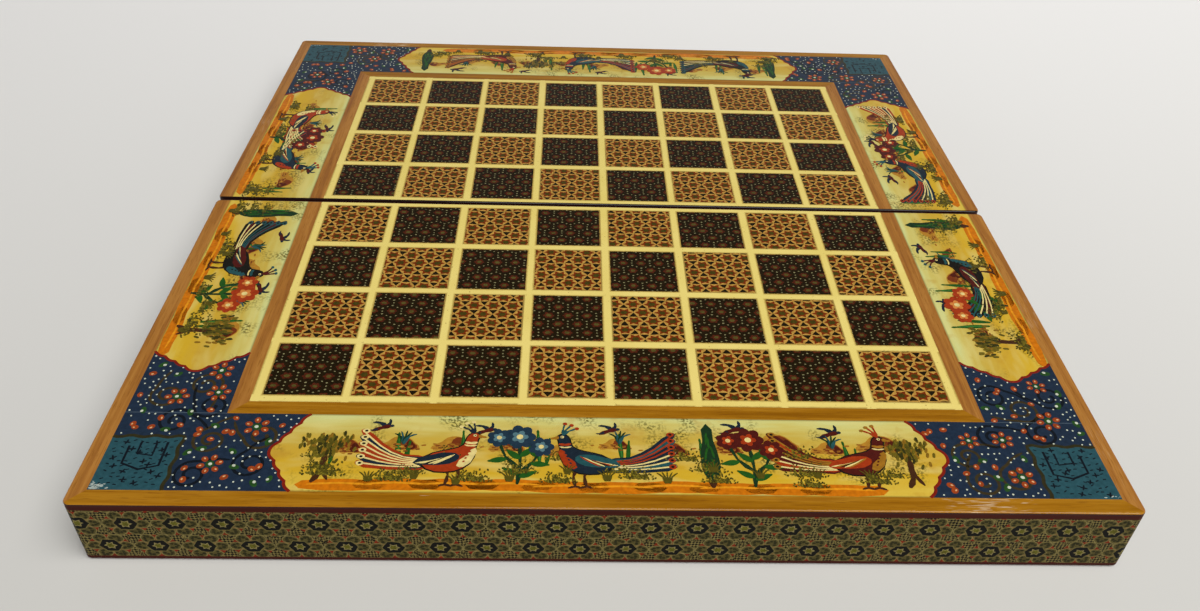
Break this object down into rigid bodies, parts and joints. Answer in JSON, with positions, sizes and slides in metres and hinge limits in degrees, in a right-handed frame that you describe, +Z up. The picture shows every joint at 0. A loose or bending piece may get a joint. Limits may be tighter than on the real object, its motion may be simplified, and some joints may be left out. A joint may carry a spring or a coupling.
{
  "type": "folding chess box",
  "caption": "Folding chess box of inlaid wood: hinged trays open flat to a chequered khatam field in painted borders, with points for a second game inside.",
  "frame": {"origin": "on the table below the middle of the seam, with the box open and the playing faces up", "axes": "+Z up, +X along the hinge axis to the right of a player at the front, +Y towards the back half"},
  "size_m": [0.4, 0.4056, 0.034],
  "materials": {
    "stained_wood": "gloss lacquer over maroon stain",
    "strip_wood": "gloss lacquer",
    "cream_sheet": "gloss lacquer",
    "painted_plate": "gouache under gloss lacquer",
    "light_khatam": "gloss lacquer over marquetry",
    "dark_khatam": "gloss lacquer over marquetry",
    "khatam_veneer": "gloss lacquer over marquetry",
    "lining_wood": "satin lacquer",
    "light_point_wood": "satin lacquer",
    "dark_point_wood": "satin lacquer",
    "brass": "plain brass, slightly dulled"
  },
  "bodies": {
    "back_half": {"back_dark_points": "dark_point_wood", "back_dark_squares": "dark_khatam", "back_deck_panel": "stained_wood", "back_end_border_strip": "strip_wood", "back_end_inner_strip": "strip_wood", "back_end_plate": "painted_plate", "back_end_veneer": "khatam_veneer", "back_end_wall": "stained_wood", "back_field_sheet": "cream_sheet", "back_floor_lining": "lining_wood", "back_hinge_screws": "brass", "back_hinge_wall": "stained_wood", "back_left_border_strip": "strip_wood", "back_left_inner_strip": "strip_wood", "back_left_plate": "painted_plate", "back_left_veneer": "khatam_veneer", "back_left_wall": "stained_wood", "back_light_points": "light_point_wood", "back_light_squares": "light_khatam", "back_right_border_strip": "strip_wood", "back_right_inner_strip": "strip_wood", "back_right_plate": "painted_plate", "back_right_veneer": "khatam_veneer", "back_right_wall": "stained_wood", "left_hinge_back_leaf": "brass", "left_hinge_pin": "brass", "right_hinge_back_leaf": "brass", "right_hinge_pin": "brass"},
    "front_half": {"front_dark_points": "dark_point_wood", "front_dark_squares": "dark_khatam", "front_deck_panel": "stained_wood", "front_end_border_strip": "strip_wood", "front_end_inner_strip": "strip_wood", "front_end_plate": "painted_plate", "front_end_veneer": "khatam_veneer", "front_end_wall": "stained_wood", "front_field_sheet": "cream_sheet", "front_floor_lining": "lining_wood", "front_hinge_screws": "brass", "front_hinge_wall": "stained_wood", "front_left_border_strip": "strip_wood", "front_left_inner_strip": "strip_wood", "front_left_plate": "painted_plate", "front_left_veneer": "khatam_veneer", "front_left_wall": "stained_wood", "front_light_points": "light_point_wood", "front_light_squares": "light_khatam", "front_right_border_strip": "strip_wood", "front_right_inner_strip": "strip_wood", "front_right_plate": "painted_plate", "front_right_veneer": "khatam_veneer", "front_right_wall": "stained_wood", "left_hinge_front_leaf": "brass", "right_hinge_front_leaf": "brass"}
  },
  "joints": [
    {"name": "fold", "type": "hinge", "parent": "back_half", "child": "front_half", "pos_m": [0, 0, 0.0018], "axis": [1, 0, 0], "range_deg": [-1.14, 178.86]}
  ]
}
